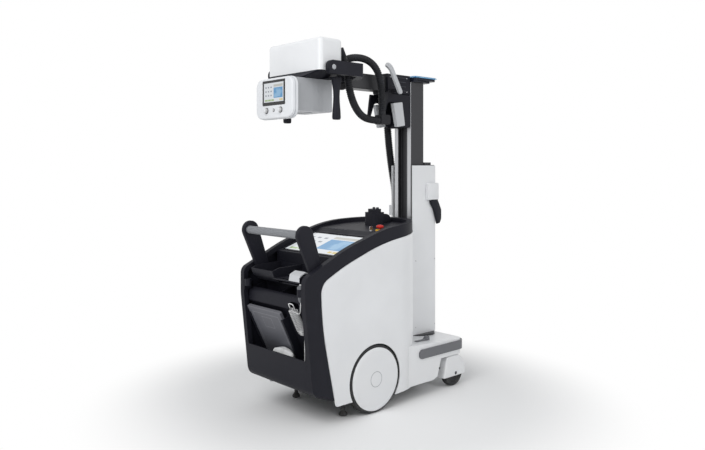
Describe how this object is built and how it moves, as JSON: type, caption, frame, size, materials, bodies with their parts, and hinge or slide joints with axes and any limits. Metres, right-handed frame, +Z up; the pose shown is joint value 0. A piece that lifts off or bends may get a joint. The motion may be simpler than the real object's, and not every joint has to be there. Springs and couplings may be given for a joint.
{
  "type": "mobile x-ray machine",
  "caption": "Battery-driven mobile x-ray cart with a push handle, storage bins, a turning telescopic column, an extending arm and a tilting tube head with a display.",
  "frame": {"origin": "on the floor under the middle of the machine's overall length and width", "axes": "+X from the push handle towards the column, +Y to the machine's left, +Z up"},
  "size_m": [1.1843, 0.555, 1.865],
  "materials": {
    "white_shell": "satin",
    "dark_shell": "satin",
    "dark_grey": "satin",
    "light_grey": "satin",
    "collimator_grey": "satin",
    "mast_black": "satin",
    "rail_alloy": "brushed",
    "chassis_steel": "matt",
    "steel": "brushed",
    "tread_rubber": "matt",
    "hose_black": "matt",
    "cord_white": "matt",
    "glass": "gloss",
    "detector_grey": "satin",
    "stop_red": "gloss",
    "button_grey": "satin",
    "battery_green": "matt"
  },
  "bodies": {
    "cart": {"chassis_frame": "chassis_steel", "side_frames": "dark_shell", "side_panels": "white_shell", "front_cover": "white_shell", "console_top": "dark_shell", "screen_glass": "glass", "lower_pocket": "dark_shell", "middle_bin": "dark_shell", "upper_tray": "dark_shell", "base_cover": "white_shell", "drive_motors": "chassis_steel", "stabiliser_feet": "tread_rubber", "battery_pack": "battery_green", "cable_pouch": "cord_white", "cord_hank": "cord_white", "switch_cord": "cord_white"},
    "handle": {"handle_arms": "dark_shell", "handle_bar": "light_grey"},
    "wheel_left": {"drive_wheel_left": "white_shell", "drive_tyre_left": "tread_rubber"},
    "wheel_right": {"drive_wheel_right": "white_shell", "drive_tyre_right": "tread_rubber"},
    "caster_left": {"caster_hood_left": "white_shell"},
    "caster_right": {"caster_hood_right": "white_shell"},
    "roller_left": {"caster_wheel_left": "tread_rubber"},
    "roller_right": {"caster_wheel_right": "tread_rubber"},
    "bumper": {"bumper_strip": "dark_grey"},
    "plate_detector": {"detector": "detector_grey"},
    "exposure_switch": {"hand_switch": "cord_white"},
    "exposure_button": {"switch_button": "button_grey"},
    "stop": {"estop_button": "stop_red"},
    "key": {"key_switch": "steel"},
    "lock": {"swivel_lock": "dark_grey"},
    "column": {"column_casing": "white_shell", "column_post": "rail_alloy", "casing_hook": "mast_black", "hose_drop": "hose_black"},
    "inner_mast": {"mast": "mast_black", "mast_rails": "rail_alloy", "lift_belt": "tread_rubber", "mast_cap": "mast_black"},
    "lift": {"carriage": "dark_grey", "arm_housing": "mast_black", "side_pads": "light_grey", "hose_hanger": "light_grey", "hose_upper": "hose_black", "hose_lower": "hose_black"},
    "arm": {"boom": "mast_black"},
    "yoke": {"fork": "dark_shell"},
    "tube": {"tube_cover": "white_shell", "tube_collar": "dark_shell", "trunnions": "steel", "tilt_grips": "dark_shell"},
    "collimator": {"collimator_box": "collimator_grey", "display_bezel": "white_shell", "display_panel": "glass"},
    "knob_left": {"field_knob_left": "button_grey"},
    "knob_right": {"field_knob_right": "button_grey"},
    "field_light": {"light_button": "button_grey"}
  },
  "joints": [
    {"name": "drive_spin_left", "type": "hinge", "parent": "cart", "child": "wheel_left", "pos_m": [-0.136, 0.252, 0.17], "axis": [0, 1, 0], "continuous": true},
    {"name": "drive_spin_right", "type": "hinge", "parent": "cart", "child": "wheel_right", "pos_m": [-0.136, -0.252, 0.17], "axis": [0, 1, 0], "continuous": true},
    {"name": "caster_turn_left", "type": "hinge", "parent": "cart", "child": "caster_left", "pos_m": [0.484, 0.232, 0.19], "axis": [0, 0, 1], "continuous": true},
    {"name": "caster_turn_right", "type": "hinge", "parent": "cart", "child": "caster_right", "pos_m": [0.484, -0.232, 0.19], "axis": [0, 0, 1], "continuous": true},
    {"name": "caster_roll_left", "type": "hinge", "parent": "caster_left", "child": "roller_left", "pos_m": [0.501, 0.232, 0.075], "axis": [0, 1, 0], "continuous": true},
    {"name": "caster_roll_right", "type": "hinge", "parent": "caster_right", "child": "roller_right", "pos_m": [0.501, -0.232, 0.075], "axis": [0, 1, 0], "continuous": true},
    {"name": "handle_push", "type": "hinge", "parent": "cart", "child": "handle", "pos_m": [-0.474, 0, 0.7], "axis": [0, 1, 0], "range_deg": [-1, 1], "stiffness_Nm_per_rad": 4000},
    {"name": "bumper_press", "type": "slide", "parent": "cart", "child": "bumper", "axis": [-1, 0, 0], "range_m": [0, 0.004], "stiffness_N_per_m": 8000},
    {"name": "detector_slide", "type": "slide", "parent": "cart", "child": "plate_detector", "axis": [-0.4384, 0, 0.8988], "range_m": [0, 0.25]},
    {"name": "switch_lift", "type": "slide", "parent": "cart", "child": "exposure_switch", "axis": [0, 0, 1], "range_m": [0, 0.07]},
    {"name": "exposure_press", "type": "slide", "parent": "exposure_switch", "child": "exposure_button", "axis": [0, 0, -1], "range_m": [0, 0.004], "stiffness_N_per_m": 400},
    {"name": "stop_press", "type": "slide", "parent": "cart", "child": "stop", "axis": [0, 0, -1], "range_m": [0, 0.004], "stiffness_N_per_m": 1500},
    {"name": "key_turn", "type": "hinge", "parent": "cart", "child": "key", "pos_m": [-0.058, -0.158, 0.91], "axis": [0, 0, 1], "range_deg": [0, 90]},
    {"name": "lock_turn", "type": "hinge", "parent": "cart", "child": "lock", "pos_m": [0.328, -0.2, 0.29], "axis": [0, 0, 1], "range_deg": [-60, 30]},
    {"name": "column_swivel", "type": "hinge", "parent": "cart", "child": "column", "pos_m": [0.441, 0, 0.27], "axis": [0, 0, 1], "range_deg": [-270, 270]},
    {"name": "mast_lift", "type": "slide", "parent": "column", "child": "inner_mast", "axis": [0, 0, 1], "range_m": [-0.2, 0], "deforming": ["hose_drop"]},
    {"name": "carriage_lift", "type": "slide", "parent": "inner_mast", "child": "lift", "axis": [0, 0, 1], "range_m": [-0.14, 0], "deforming": ["hose_drop"]},
    {"name": "boom_extend", "type": "slide", "parent": "lift", "child": "arm", "axis": [-1, 0, 0], "range_m": [0, 0.15], "deforming": ["hose_upper", "hose_lower"]},
    {"name": "yoke_roll", "type": "hinge", "parent": "arm", "child": "yoke", "pos_m": [-0.136, 0, 1.697], "axis": [1, 0, 0], "range_deg": [-90, 90], "deforming": ["hose_upper", "hose_lower"]},
    {"name": "tube_tilt", "type": "hinge", "parent": "yoke", "child": "tube", "pos_m": [-0.391, 0, 1.717], "axis": [0, 1, 0], "range_deg": [-20, 90], "deforming": ["hose_upper", "hose_lower"]},
    {"name": "collimator_turn", "type": "hinge", "parent": "tube", "child": "collimator", "pos_m": [-0.405, 0, 1.67], "axis": [0, 0, 1], "range_deg": [-45, 45]},
    {"name": "field_width_turn", "type": "hinge", "parent": "collimator", "child": "knob_left", "pos_m": [-0.568, 0.058, 1.513], "axis": [1, 0, 0], "range_deg": [-160, 160]},
    {"name": "field_height_turn", "type": "hinge", "parent": "collimator", "child": "knob_right", "pos_m": [-0.568, -0.058, 1.513], "axis": [1, 0, 0], "range_deg": [-160, 160]},
    {"name": "light_press", "type": "slide", "parent": "collimator", "child": "field_light", "axis": [1, 0, 0], "range_m": [0, 0.002], "stiffness_N_per_m": 400}
  ],
  "couplings": [
    {"joint": "carriage_lift", "follows": "mast_lift", "ratio": 0.7}
  ]
}
